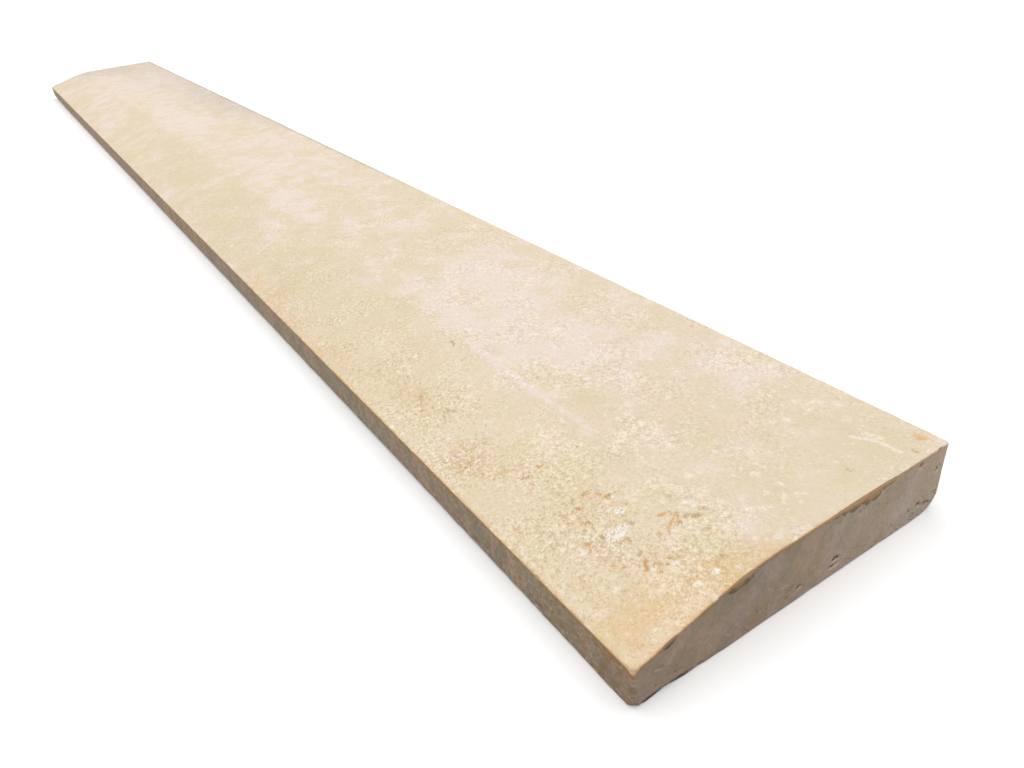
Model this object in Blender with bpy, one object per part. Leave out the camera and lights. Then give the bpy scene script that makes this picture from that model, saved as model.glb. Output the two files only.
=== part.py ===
"""Door threshold, sawn and honed from one slab of beige travertine marble.

One long side is the full thickness of the slab. The other is ground down by a single long
bevel to a thin edge. The bevel is hand-ground, so it starts from its crest at a shallow slope
and rolls over a shoulder to its full slope. The near end has the small chips and the open
pits of the stone.

The origin is the middle of the footprint, on the floor. +X runs along the threshold to its
near end, +Y across it to the thick back edge, and +Z up. Lengths are in metres.
"""

import math
from collections import namedtuple

import bmesh
import bpy
from mathutils import Euler, Matrix, Vector

# The slab
LENGTH = 0.9144
WIDTH = 0.1016
THICKNESS = 0.020

# The long bevel: how far its crest lies in from the thin front edge, how much it takes off
# there, and the radius that the crest is worn to
BEVEL_WIDTH = 0.0381
BEVEL_DROP = 0.0085
CREST_RADIUS = 0.020

# The shoulder where the shallow first stretch of the bevel rolls to its full slope: how far
# it lies from the crest, how much has gone off there, and its radius
SHOULDER_WIDTH = 0.0114
SHOULDER_DROP = 0.0015
SHOULDER_RADIUS = 0.080

# Radii of the arrises that run along the stone
TOP_ARRIS = 0.0009
FRONT_FOOT_ARRIS = 0.0020
BACK_FOOT_ARRIS = 0.0030

# Radii of the arrises round each end face
END_TOP_ARRIS = 0.0007
END_FOOT_ARRIS = 0.0012
END_FRONT_CORNER = 0.0020
END_BACK_CORNER = 0.0012

# How finely the rounded stretches are cut into facets
ARRIS_STEPS = 6
CREST_STEPS = 5
SHOULDER_STEPS = 8
END_STEPS = 6
CHIP_BALL_STEPS = 3
PIT_BALL_STEPS = 2

# The turn that each cutter's ball of facets gets before it is stretched
FACET_TURN = (0.31, 0.47, 0.23)

# A rounding takes at most this share of the shorter side next to it
SIDE_SHARE = 0.45

# A chip broken off the near end's top arris: its middle, from the back edge, half its
# length along the arris, and how far it reaches down the end face and along the top
TopChip = namedtuple("TopChip", "from_back half_length down along")
TOP_CHIPS = {
    "long_top_chip": TopChip(0.0330, 0.0095, 0.0024, 0.0012),
    "crest_chip": TopChip(0.0712, 0.0042, 0.0018, 0.0011),
    "bevel_chip": TopChip(0.0916, 0.0018, 0.0013, 0.0009),
    "back_corner_chip": TopChip(0.0030, 0.0013, 0.0011, 0.0010),
}

# An open pit in the near end face: its middle, from the back edge and above the foot,
# half its width and height there, and its depth
EndPit = namedtuple("EndPit", "from_back height half_width half_height depth")
END_PITS = {
    "foot_chip": EndPit(0.0925, 0.0002, 0.0080, 0.0010, 0.0014),
    "crystal_pit": EndPit(0.0393, 0.0046, 0.0013, 0.0009, 0.0011),
    "crystal_crack": EndPit(0.0398, 0.0029, 0.0019, 0.0005, 0.0007),
    "low_pit": EndPit(0.0521, 0.0035, 0.0009, 0.0007, 0.0008),
    "small_low_pit": EndPit(0.0557, 0.0025, 0.0006, 0.0005, 0.0006),
    "back_pit": EndPit(0.0080, 0.0046, 0.0008, 0.0008, 0.0009),
    "back_low_pit": EndPit(0.0045, 0.0033, 0.0009, 0.0006, 0.0008),
    "back_foot_pit": EndPit(0.0092, 0.0017, 0.0007, 0.0005, 0.0007),
    "back_edge_pit": EndPit(0.0024, 0.0133, 0.0007, 0.0011, 0.0009),
    "high_pit": EndPit(0.0101, 0.0180, 0.0006, 0.0006, 0.0007),
}

# A notch in the thin front edge: its middle, from the near end and above the foot, half
# its length along the stone, half its height, and its depth
EdgeNotch = namedtuple("EdgeNotch", "from_end height half_length half_height depth")
EDGE_NOTCHES = {
    "foot_notch": EdgeNotch(0.0338, 0.0012, 0.0021, 0.0009, 0.0010),
    "foot_pit": EdgeNotch(0.0243, 0.0024, 0.0009, 0.0007, 0.0008),
    "foot_hollow": EdgeNotch(0.0612, 0.0004, 0.0075, 0.0011, 0.0009),
    "white_pit": EdgeNotch(0.0569, 0.0031, 0.0010, 0.0008, 0.0009),
    "edge_pit": EdgeNotch(0.0122, 0.0084, 0.0008, 0.0006, 0.0007),
}

# The stone: linear colour, as the honed top shows it
STONE_COLOUR = (0.80, 0.67, 0.50, 1.0)
STONE_ROUGHNESS = 0.45
SMOOTH_ANGLE = math.radians(35)

FRONT = -WIDTH / 2
BACK = WIDTH / 2
NEAR_END = LENGTH / 2
CREST = FRONT + BEVEL_WIDTH
SHOULDER_SLOPE = SHOULDER_DROP / SHOULDER_WIDTH
BEVEL_SLOPE = (BEVEL_DROP - SHOULDER_DROP) / (BEVEL_WIDTH - SHOULDER_WIDTH)


def clear_scene():
    """Removes the objects that the scene starts with."""
    for obj in list(bpy.data.objects):
        bpy.data.objects.remove(obj, do_unlink=True)


def stone_material():
    """Beige stone with a satin, honed finish."""
    material = bpy.data.materials.new("honed_travertine")
    material.use_nodes = True
    shader = material.node_tree.nodes["Principled BSDF"]
    shader.inputs["Base Color"].default_value = STONE_COLOUR
    shader.inputs["Roughness"].default_value = STONE_ROUGHNESS
    shader.inputs["Metallic"].default_value = 0.0
    return material


def rounding(distance, radius):
    """How far a quarter-round of this radius lies inside its side, this far from the end."""
    short = max(radius - distance, 0.0)
    return radius - math.sqrt(radius * radius - short * short)


class Face:
    """One of the long faces that look up, as a straight line of the section."""

    def __init__(self, slope, y, height, moved_in=0.0):
        """The line of this slope through a point, moved in square to itself."""
        self.slope = slope
        self.height_at_middle = height - slope * y - moved_in * math.hypot(1.0, slope)

    def height(self, y):
        """The line's height at y."""
        return self.height_at_middle + self.slope * y

    def crossing(self, other):
        """The point where this line meets another."""
        y = (other.height_at_middle - self.height_at_middle) / (self.slope - other.slope)
        return Vector((y, self.height(y)))


def upper_faces(moved_in=0.0):
    """The flat top, the shallow first stretch of the bevel and its full slope."""
    flat = Face(0.0, CREST, THICKNESS, moved_in)
    shoulder = Face(SHOULDER_SLOPE, CREST, THICKNESS, moved_in)
    bevel = Face(BEVEL_SLOPE, FRONT, THICKNESS - BEVEL_DROP, moved_in)
    return flat, shoulder, bevel


def section_corners(from_end):
    """The sharp corners of the section, counter-clockwise as seen from the near end.

    Near an end each side moves in by its own rounding.
    """
    flat, shoulder, bevel = upper_faces(rounding(from_end, END_TOP_ARRIS))
    foot = rounding(from_end, END_FOOT_ARRIS)
    front = FRONT + rounding(from_end, END_FRONT_CORNER)
    back = BACK - rounding(from_end, END_BACK_CORNER)
    return [
        Vector((back, foot)),
        Vector((back, flat.height(back))),
        flat.crossing(shoulder),
        shoulder.crossing(bevel),
        Vector((front, bevel.height(front))),
        Vector((front, foot)),
    ]


def rounded_outline(corners, radii, steps):
    """The outline through the corners, with an arc tangent to both sides at each."""
    outline = []
    for i, corner in enumerate(corners):
        to_last = corners[i - 1] - corner
        to_next = corners[(i + 1) % len(corners)] - corner
        half_turn = (math.pi - to_last.angle(to_next)) / 2
        longest = SIDE_SHARE * min(to_last.length, to_next.length)
        reach = min(radii[i] * math.tan(half_turn), longest)
        radius = reach / math.tan(half_turn)
        inward = (to_last.normalized() + to_next.normalized()).normalized()
        centre = corner + inward * radius / math.cos(half_turn)
        outward = math.atan2(-inward.y, -inward.x)
        for step in range(steps[i] + 1):
            angle = outward + half_turn * (2 * step / steps[i] - 1)
            outline.append(centre + radius * Vector((math.cos(angle), math.sin(angle))))
    return outline


def section(from_end):
    """The rounded outline of the section, this far from the nearer end."""
    radii_and_steps = [
        (BACK_FOOT_ARRIS, ARRIS_STEPS),
        (TOP_ARRIS, ARRIS_STEPS),
        (CREST_RADIUS, CREST_STEPS),
        (SHOULDER_RADIUS, SHOULDER_STEPS),
        (TOP_ARRIS, ARRIS_STEPS),
        (FRONT_FOOT_ARRIS, ARRIS_STEPS),
    ]
    return rounded_outline(section_corners(from_end), *zip(*radii_and_steps))


def surface_height(y):
    """Height of the upper faces at y, as if their corners were sharp."""
    return min(face.height(y) for face in upper_faces())


def end_distances():
    """Places, measured from an end, of the sections that its rounded arrises pass through.

    They crowd towards the end face, where the arrises turn fastest.
    """
    widest = max(END_TOP_ARRIS, END_FOOT_ARRIS, END_FRONT_CORNER, END_BACK_CORNER)
    turns = [math.pi / 2 * step / END_STEPS for step in range(END_STEPS + 1)]
    return [widest * (1 - math.cos(turn)) for turn in turns]


def slab_mesh():
    """The stone without its damage: sections joined along the length and closed at both ends."""
    distances = end_distances()
    stations = [(distance - NEAR_END, distance) for distance in distances]
    stations += [(NEAR_END - distance, distance) for distance in reversed(distances)]
    bm = bmesh.new()
    rings = []
    for x, from_end in stations:
        rings.append([bm.verts.new((x, point.x, point.y)) for point in section(from_end)])
    for ring, next_ring in zip(rings, rings[1:]):
        for i in range(len(ring)):
            bm.faces.new((ring[i - 1], ring[i], next_ring[i], next_ring[i - 1]))
    bm.faces.new(rings[0])
    bm.faces.new(rings[-1])
    bmesh.ops.recalc_face_normals(bm, faces=bm.faces)
    mesh = bpy.data.meshes.new("threshold")
    bm.to_mesh(mesh)
    bm.free()
    mesh.shade_smooth()
    mesh.set_sharp_from_angle(angle=SMOOTH_ANGLE)
    return mesh


def hollow(name, centre, half_sizes, ball_steps):
    """A hidden egg-shaped cutter for one pit or chip.

    The ball is turned before it is stretched, so that none of its corners lies in a face
    of the slab.
    """
    bm = bmesh.new()
    turned = Euler(FACET_TURN).to_matrix().to_4x4()
    shape = Matrix.Translation(centre) @ Matrix.Diagonal((*half_sizes, 1.0)) @ turned
    bmesh.ops.create_icosphere(bm, subdivisions=ball_steps, radius=1.0, matrix=shape)
    mesh = bpy.data.meshes.new(name)
    bm.to_mesh(mesh)
    bm.free()
    cutter = bpy.data.objects.new(name, mesh)
    cutter.hide_render = True
    cutter.display_type = "WIRE"
    bpy.context.scene.collection.objects.link(cutter)
    return cutter


def damage():
    """The cutters of every chip, pit and notch, each centred on the surface that it breaks."""
    cutters = []
    for name, chip in TOP_CHIPS.items():
        y = BACK - chip.from_back
        centre = (NEAR_END, y, surface_height(y))
        half_sizes = (chip.along, chip.half_length, chip.down)
        cutters.append(hollow(name, centre, half_sizes, CHIP_BALL_STEPS))
    for name, pit in END_PITS.items():
        centre = (NEAR_END, BACK - pit.from_back, pit.height)
        half_sizes = (pit.depth, pit.half_width, pit.half_height)
        cutters.append(hollow(name, centre, half_sizes, PIT_BALL_STEPS))
    for name, notch in EDGE_NOTCHES.items():
        centre = (NEAR_END - notch.from_end, FRONT, notch.height)
        half_sizes = (notch.half_length, notch.depth, notch.half_height)
        cutters.append(hollow(name, centre, half_sizes, PIT_BALL_STEPS))
    return cutters


def threshold():
    """The finished stone: the slab with its chips, pits and notches cut out."""
    stone = bpy.data.objects.new("threshold", slab_mesh())
    stone.data.materials.append(stone_material())
    bpy.context.scene.collection.objects.link(stone)
    for cutter in damage():
        cut = stone.modifiers.new(cutter.name, "BOOLEAN")
        cut.operation = "DIFFERENCE"
        cut.solver = "EXACT"
        cut.object = cutter
    # The broad flat faces set the shading, and the arrises turn between them
    stone.modifiers.new("flat_faces_lead", "WEIGHTED_NORMAL").keep_sharp = True
    return stone


clear_scene()
threshold()
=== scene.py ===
"""The looks of a travertine door threshold: honed top and bevel, sawn sides, iron stains, chips.

The stone is one closed skin, worked out with numpy from the same section as its solid: rings along
the length, and a grid over each end. X runs along the stone to its near end, Y across it to its
thick back edge, and Z up. Lengths are in metres, but those of the marks and patches that only
colour the stone, and those in the fields that its materials read, are in millimetres.
"""

import itertools
import math
from collections import namedtuple

import bpy
import numpy as np
from mathutils import Euler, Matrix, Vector


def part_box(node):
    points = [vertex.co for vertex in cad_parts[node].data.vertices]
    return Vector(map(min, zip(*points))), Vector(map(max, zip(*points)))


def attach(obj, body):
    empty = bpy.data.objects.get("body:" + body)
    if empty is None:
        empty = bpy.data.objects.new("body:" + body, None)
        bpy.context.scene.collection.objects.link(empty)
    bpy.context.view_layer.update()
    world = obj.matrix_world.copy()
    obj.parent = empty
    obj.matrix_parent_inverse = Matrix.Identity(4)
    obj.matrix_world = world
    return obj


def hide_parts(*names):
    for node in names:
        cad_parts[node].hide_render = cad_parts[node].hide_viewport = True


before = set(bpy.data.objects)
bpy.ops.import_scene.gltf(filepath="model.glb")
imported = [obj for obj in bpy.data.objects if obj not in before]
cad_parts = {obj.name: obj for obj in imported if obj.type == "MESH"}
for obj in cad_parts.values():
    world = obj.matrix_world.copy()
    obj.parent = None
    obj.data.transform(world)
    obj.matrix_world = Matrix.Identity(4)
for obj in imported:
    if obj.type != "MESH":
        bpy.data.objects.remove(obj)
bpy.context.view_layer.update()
low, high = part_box("threshold")

FAR_END, NEAR_END = low.x, high.x
FRONT, BACK = low.y, high.y
TOP = high.z

# The section, as the solid has it: the long bevel, and the shoulder where it rolls over
BEVEL_WIDTH = 0.0381
BEVEL_DROP = 0.0085
SHOULDER_WIDTH = 0.0114
SHOULDER_DROP = 0.0015
CREST = FRONT + BEVEL_WIDTH
SHOULDER_SLOPE = SHOULDER_DROP / SHOULDER_WIDTH
BEVEL_SLOPE = (BEVEL_DROP - SHOULDER_DROP) / (BEVEL_WIDTH - SHOULDER_WIDTH)

# Radii of the section's corners, from the back foot up and over to the front foot. At the near end
# the back foot is worn rounder and the front foot is sharper, and at the far end the thin edge is
# worn rounder, each fading over its own reach.
CORNER_RADII = np.array([0.0030, 0.0003, 0.0200, 0.0800, 0.0003, 0.0018])
NEAR_CHANGE = np.array([0.0026, 0.0003, 0.0, 0.0, 0.0, -0.0015])
NEAR_REACH = np.array([0.015, 0.015, 0.015, 0.015, 0.015, 0.060])
FAR_CHANGE = np.array([0.0, 0.0, 0.0, 0.0, 0.0008, 0.0030])
FAR_REACH = 0.10

# The share of a straight side that the arc of a corner may take up
SIDE_SHARE = 0.45

# Radii of the arrises round each end face, and of those that are rounder at the far end
END_TOP_ARRIS = 0.00025
END_FOOT_ARRIS = 0.0003
END_FRONT_CORNER = 0.0010
END_BACK_CORNER = 0.0011
FAR_FOOT_ARRIS = 0.0020
FAR_FRONT_CORNER = 0.0045

# How many steps a ring takes over each corner and each side, in the same order
CORNER_STEPS = [6, 6, 4, 16, 6, 6]
SIDE_STEPS = [10, 80, 8, 58, 13, 34]

# Places round the section count 1 for each corner's arc and 1 for the side after it, from the back
# foot. So the arcs beside the top begin at 2 and end at 9, and those beside the underside begin at
# 10 and end at 1. The honing runs from the middle of the top's back arc to that of its front one.
UPPER_HALF = (2, 9)
LOWER_HALF = (10, 1)
HONED_PLACES = (2.5, 8.5)

# Rings along the length: close at the near end, and wider and wider apart past it
ARRIS_ROWS = 7
NEAR_ROW = 0.00046
NEAR_STRETCH = 0.046
ROW_GROWTH = 1.017

# The grids over the end faces: spacing, and how far they stop short of the outline
NEAR_CAP_CELL = 0.00046
FAR_CAP_CELL = 0.0016
CAP_RIM = 0.00035

# A flake off the near end's top arris: from the back edge, half its length, how far it reaches
# down the face, and how far in along the top
Flake = namedtuple("Flake", "from_back half_length down along")
FLAKES = [
    Flake(0.0325, 0.0118, 0.0027, 0.00022),
    Flake(0.0298, 0.0052, 0.0035, 0.00028),
    Flake(0.0360, 0.0030, 0.0029, 0.00022),
    Flake(0.0721, 0.0046, 0.0030, 0.00022),
    Flake(0.0728, 0.0058, 0.0014, 0.00014),
    Flake(0.0918, 0.0021, 0.0018, 0.00018),
    Flake(0.0879, 0.0010, 0.0004, 0.00008),
    Flake(0.0041, 0.0010, 0.0010, 0.00015),
]

# The roughness of the flakes' borders: its strength, and its noise's cell, drawn out along X, with
# a finer one mixed in. Behind a flake's face its field falls by so many mm to the mm. Its reach
# down is never quite 0, because the depth is divided by it.
FLAKE_ROUGHNESS = 0.12
FLAKE_CELL = 0.0040
FLAKE_DRAWN_OUT = (0.3, 1, 1)
FINER_FLAKE_CELL = FLAKE_CELL / 2.7
FINER_SHARE = 0.4
BEHIND_FALL = 3
LEAST_REACH = 1e-6

# The tips where the end meets the thin edge, each worn to planes: the height of its corner, the way
# that the plane faces, and how far it lies inside the corner
WornTip = namedtuple("WornTip", "height facing depth")
WORN_TIPS = [
    WornTip(TOP - BEVEL_DROP, (0.61, -0.61, 0.51), 0.00105),
    WornTip(low.z, (0.56, -0.56, -0.60), 0.00130),
    WornTip(low.z, (0.30, -0.30, -0.90), 0.00085),
]
TIP_RAGGED = 0.00015

# An open pit in the near end face: from the back edge, height, half sizes and depth
EndPit = namedtuple("EndPit", "from_back height half_width half_height depth")
END_PITS = [
    EndPit(0.0926, 0.0005, 0.0085, 0.0009, 0.0007),
    EndPit(0.0400, 0.0049, 0.0013, 0.0009, 0.0011),
    EndPit(0.0405, 0.0032, 0.0019, 0.0005, 0.0007),
    EndPit(0.0527, 0.0038, 0.0009, 0.0007, 0.0008),
    EndPit(0.0563, 0.0028, 0.0006, 0.0005, 0.0006),
    EndPit(0.0088, 0.0047, 0.0008, 0.0008, 0.0009),
    EndPit(0.0053, 0.0034, 0.0009, 0.0006, 0.0008),
    EndPit(0.0099, 0.0018, 0.0007, 0.0005, 0.0007),
    EndPit(0.0034, 0.0134, 0.0007, 0.0011, 0.0009),
    EndPit(0.0111, 0.0181, 0.0006, 0.0006, 0.0007),
]

# A notch in the thin front edge: from the near end, height, half sizes and depth
EdgeNotch = namedtuple("EdgeNotch", "from_end height half_length half_height depth")
EDGE_NOTCHES = [
    EdgeNotch(0.0328, 0.0019, 0.0021, 0.0009, 0.0010),
    EdgeNotch(0.0236, 0.0030, 0.0009, 0.0007, 0.0008),
    EdgeNotch(0.0605, 0.0023, 0.0024, 0.0007, 0.0003),
    EdgeNotch(0.0553, 0.0037, 0.0010, 0.0008, 0.0009),
    EdgeNotch(0.0119, 0.0088, 0.0008, 0.0006, 0.0007),
    EdgeNotch(0.0325, 0.0118, 0.0011, 0.0005, 0.0005),
    EdgeNotch(0.1065, 0.0119, 0.0022, 0.0005, 0.0005),
]

# The roughness of the pits, notches and worn tips: cell of its noise, and its share of a pit's size
CHIP_CELL = 0.0009
CHIP_ROUGHNESS = 0.35

# The skin's small unevenness: cell of the noise and depth, by the arrises and on each kind of face
WORN_CELL = 0.0035
WORN_DEPTH = 0.00010
SAWN_CELL = 0.0016
SAWN_DEPTH = 0.00004
HONED_CELL = 0.018
HONED_DEPTH = 0.00002

# Seeds of the noises. Those of the pits and notches are their numbers in the two tables.
FLAKE_SEEDS = (21, 22)
TIP_SEED = 31
WORN_SEED = 41
SAWN_SEED = 42
HONED_SEED = 43

# How far from an arris its wear fades, how far below the top the honing does, and how near the end
# a point counts as on the end face
WEAR_FADE = (0.0004, 0.0030)
HONING_FADE = (0.0002, 0.0010)
END_FACE_DEPTH = 0.0005

# The fields that the materials read: their scale, and what they say far from any mark or flake
MM_IN_METRE = 1000
NO_MARK = -4.0
NO_FLAKE = -2.0

# The least square of a route's length, in square millimetres, for a mark that is a single spot
LEAST_SQUARE = 1e-12

# The marks drawn on the stone, in millimetres: half the width, and then the places of the route.
# Scars and chalky spots on the near end face have their places from the back edge, and up.
END_SCARS = [
    (0.4, 4.1, 3.4, 6.4, 4.3, 8.6, 4.5),
    (0.4, 9.9, 1.5, 11, 2),
    (0.68, 11, 18.2),
    (0.28, 2.8, 13.5, 3.9, 14.3),
    (0.36, 39, 5.2, 40.7, 5.4),
    (0.26, 38.7, 3.9),
    (0.3, 33.5, 15.9, 32.7, 16.5),
    (0.3, 52.6, 3.4, 53.4, 3.7),
    (0.26, 56.2, 7.4),
    (0.28, 64.9, 5.3, 66.3, 5.5),
    (0.3, 93.5, 8, 94.6, 8.2),
    (0.26, 89.1, 3.4, 90.5, 3.8),
    (0.24, 94.1, 3.3, 95.6, 3.5),
    (0.18, 23.1, 12.8, 24.5, 13.3),
    (0.53, 68.6, 17.4, 70.6, 17.1),
]
END_CHALK = [
    (0.6, 33.7, 14.9, 33.1, 15.4),
    (0.6, 24.9, 18, 25.8, 17.8),
    (0.4, 2, 12.3, 3.8, 13.1),
    (0.4, 3.2, 14.8),
    (0.6, 6.4, 3.4, 8.3, 4),
    (0.6, 9, 1.8, 11.5, 2),
    (0.7, 39.3, 4.3, 41.1, 3.1),
    (0.4, 38.7, 2.9),
    (0.4, 47.4, 7, 49, 7.4),
    (0.4, 51.6, 3.1, 53.9, 4.2),
    (0.4, 56.2, 7, 58.9, 7.2),
    (0.4, 61.6, 8.6, 62.8, 9.7),
    (0.4, 65.2, 4.7),
    (0.4, 94.1, 7.6, 95.6, 7.8),
]

# Iron stains on the top have their places from the near end, and across
IRON_STAINS = [
    (0.47, 25.2, -21.3, 24.4, -19.8),
    (0.67, 23.8, -19, 23.1, -18.2, 21.7, -18.6, 20.1, -19.6),
    (0.57, 21.8, -19.7, 20.7, -22.1),
    (0.47, 20.3, -23.1, 20.6, -24.1, 21.5, -25),
    (0.67, 30.6, -29.7),
    (0.57, 9.6, -13.3),
    (0.47, 31.4, -37.8, 30.6, -37.1, 29, -38.3),
    (0.57, 36.4, -35.3, 36.3, -33.5, 35.4, -33.1),
    (0.47, 36.1, -35.4, 35.3, -34.7),
    (0.47, 40.6, -33.7, 41, -32.6, 40, -32.1),
    (0.57, 43.2, -29.8, 43.5, -28.2, 42.3, -27.6),
    (0.57, 41.1, -26.5, 39.3, -26.2, 38, -25.7, 38.7, -24.8),
    (0.37, 36.3, -26.5, 34.9, -25.3, 33.3, -24.1),
    (0.67, 17.7, -31.7, 15.8, -33.4),
    (0.45, 15.8, -31.1, 14.8, -30.3, 13.4, -31.4),
    (0.57, 13.8, -29.3),
    (0.47, 14.6, -27.7),
    (0.57, 13.4, -26.6, 13, -26),
    (0.47, 13.6, -35.5),
    (0.57, 22.2, -37, 19.9, -35.8),
    (0.37, 20.6, -13.8, 19.6, -12.1),
    (0.47, 15.2, -17.3, 14.4, -16.1, 13, -16.1),
    (0.47, 7.1, -19.8, 6.3, -22),
    (0.47, 60.5, -31, 58.1, -29.6),
    (0.47, 67.4, -39.1, 65.2, -36.9),
    (0.57, 58.1, -19.7),
    (0.47, 49, -46.8, 47.5, -45.8),
    (0.57, 79, -44.2, 75.7, -44.6, 77.1, -40.5),
    (0.57, 115.8, -38.8, 112.9, -38, 114.4, -34.6),
]

# Olive and brown spots of the same kind
OLIVE_STAINS = [
    (0.7, 27.9, -15.3),
    (0.8, 19.7, -16.1, 19.1, -14.8),
    (0.6, 21.1, -17.5, 20.7, -16.9),
    (0.7, 25.3, -31.7, 25, -30.3),
    (0.6, 30.5, -33.8, 28.5, -34.6),
    (0.5, 29.5, -27.6, 28.9, -26.9, 27.8, -26.9),
    (0.6, 20.7, -30.7, 20, -31.4),
    (0.6, 15.5, -22.6),
    (0.7, 7.8, 23.4),
    (0.5, 3.4, 41, 2.4, 41.1),
    (0.7, 43.9, -31.9),
    (0.7, 59.9, -35.7, 58.9, -34.1),
    (0.7, 100.5, -36.3, 100.2, -35.1, 98, -34.1),
    (0.7, 130.4, -16.3, 127.5, -17.1),
]

# White crystals and healed seams on the top
CRYSTALS = [
    (1.7, 28.8, -32.6, 28.4, -30.9, 28.3, -29.2),
    (1.1, 33.2, -26.9, 32.5, -25.8),
    (0.8, 37.8, -24.7),
    (0.8, 32.8, -36.3),
    (1, 29.9, -39.2),
    (0.9, 27.9, -17.5),
    (0.7, 23.9, -16.1, 24.4, -14.1, 22.7, -13, 21.3, -13.1),
    (1, 19.3, -8.1),
    (0.8, 18.5, -17.2),
    (1, 5, -23.6),
    (0.9, 15.1, -31.9),
    (0.8, 82.1, -44, 81.6, -41),
    (0.8, 57.8, -18.6),
    (1, 31.1, 28.9),
    (0.8, 32.6, 25.1),
    (0.8, 41.9, 34.4),
    (0.9, 30.5, 36.6),
    (0.9, 32.4, 40.6),
    (0.9, 27.5, 43.7, 26.6, 44.6),
    (0.8, 16.2, 34.9, 14, 36.4, 11.3, 37.9, 5.1, 38.3),
    (0.7, 15.2, 38.2, 10.9, 40),
    (0.9, 14.8, 7.1),
    (0.8, 14.6, 2.4),
    (0.6, 11.9, 5.2, 9.7, 2.8),
    (0.8, 10.3, 7.2),
    (0.8, 9, 8.8),
    (0.6, 13.7, -6.2, 12.8, -4, 10.4, -0.8),
    (1.1, 103, 5.9),
    (0.9, 58.9, 12.8),
]

# Soft patches on the top: from the near end, across, half the length and half the width, all in
# millimetres, and how strong. These are where the stone is paler, or with a minus yellower. The
# narrow band just behind the crest is a painted sheen on the flat.
PALE_CLOUDS_AND_SHEEN = [
    (142, 12, 44, 22, 1.4),
    # Painted sheen on the flat just behind the crest
    (136, -6, 40, 6, 0.8),
    (126, 32, 10, 10, -0.5),
    (58, 36, 14, 10, 0.9),
    (50, 1, 6, 4, 1),
    (18, -25, 4, 3, 0.5),
    (93, 13, 8, 6, 0.8),
    (86, 4, 7, 5, 0.7),
    (76, 30, 12, 8, 0.4),
    (18, 24, 14, 10, -0.3),
    (10, 40, 14, 12, -0.8),
    (40, 6, 6, 6, -0.8),
    (50, 18, 45, 30, -0.2),
    (74, -1, 16, 6, -0.5),
    (175, 20, 13, 12, 0.8),
    (240, 24, 12, 9, 0.8),
    (318, 17, 16, 6, -0.8),
    (385, 24, 35, 18, 0.4),
    (310, -5, 55, 8, 0.9),
    (289, -24.5, 18, 8, 1.5),
    (352, -30, 35, 12, -1.1),
    (440, -30, 50, 12, -0.7),
    (215, -34, 24, 10, -0.9),
    (180, -28, 20, 10, -0.6),
    (135, -38, 28, 12, -0.6),
    (80, -22, 35, 6, 0.3),
    (447, 20, 30, 14, 0.8),
    (560, 2, 90, 16, 1),
    (905, 0, 30, 30, -0.6),
    (760, 10, 90, 30, 0.8),
    (805, 36, 50, 12, 0.7),
    (770, -30, 140, 18, 0.8),
    (520, -42, 90, 10, 0.4),
    (540, -22, 120, 10, -0.2),
]

# A painted highlight: the pale line along the crest, where it shows best
CREST_HIGHLIGHT = (100, -13.1, 34, 1, 1.4)

# How much yellower the bevel is, and how far past the crest that comes in: partly its own tone,
# and partly painted shade, for the sheen that the flat catches and the bevel misses
BEVEL_TONE_AND_SHADE = -0.60
BEVEL_TONE_FADE = 0.004

# Where the far stretch is painted darker and bluer: painted shade that damps its sheen
FAR_SHADE_PATCHES = [
    (914, 10, 60, 45, 0.9),
    (700, 50, 220, 22, 0.75),
    (600, 40, 80, 20, 0.3),
    (780, 15, 100, 20, 0.4),
]

# Where the small rusty specks gather
SPECK_FIELDS = [
    (34, -31, 14, 9, 1),
    (16, -30, 8, 9, 0.7),
    (80, -42, 12, 6, 0.9),
    (117, -36, 10, 6, 0.7),
    (60, -36, 16, 7, 0.6),
    (100, -34, 20, 6, 0.4),
    (160, -43, 60, 7, 0.6),
    (20, -45, 30, 6, 0.7),
    (250, -45, 50, 6, 0.4),
]

# Broad orange tints near the near end
ORANGE_TINTS = [
    (7, -38, 9, 7, 1.2),
    (6, -47, 10, 4, 1),
    (5, -23, 6, 8, 1.2),
    (3, -12, 4, 8, 1.1),
    (12, -28, 10, 10, 0.4),
    (18, -44, 20, 6, 0.5),
    (5.8, 46.8, 1.9, 1.1, 3.8),
    (3.4, 47.7, 1.6, 0.5, 2.4),
    (0, -30, 1.2, 22, 1.5),
    (0, 8, 1, 16, 1.3),
    (80, -50.8, 120, 1.1, 1.6),
    (175, -48, 45, 3.5, 1),
    (240, -47, 25, 4, 1.2),
]

# Where one look of the stone fades into another, from the first place to the second. Along X: the
# clouds grow, the bevel is bleached, the back rim dulls, the grain fades and is calm, and the thin
# edge darkens by its tip.
CLOUDS_GROW = (0.34, 0.18)
BLEACHED_BEVEL = (0.20, 0.36)
DULL_RIM_ALONG = (0.21, 0.08)
GRAIN_FADES = (0.36, 0.00)
CALM_ALONG = (0.405, 0.435)
DARK_TIP = (NEAR_END - 0.030, NEAR_END - 0.006)

# Along Y: the bevel's colours, the dull back rim, the calm grain, the rusty arris, the end face
# growing paler towards the back, its specks by the back foot and its darker forward flakes, and the
# thin edge's own face
BEVEL_COLOURS = (CREST, CREST - 0.018)
DULL_RIM_ACROSS = (0.035, 0.045)
CALM_ACROSS = (-0.006, 0.010)
RUSTY_ARRIS = (0.036, 0.010)
END_PALER_TO_BACK = (-0.030, 0.050)
BACK_FOOT = (0.028, 0.040)
FORWARD_FLAKES = (-0.012, -0.040)
FRONT_FACE = (FRONT + 0.0015, FRONT + 0.0005)

# Where the specks of the end face thin out, along Z
SPECKS_THIN_OUT = (0.001, 0.010)

# Colours that more than one place has
CREAM = (0.94, 0.84, 0.68)
TIP_COLOUR = (0.92, 0.67, 0.42)
WHITE = (1.0, 1.0, 1.0)

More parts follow.
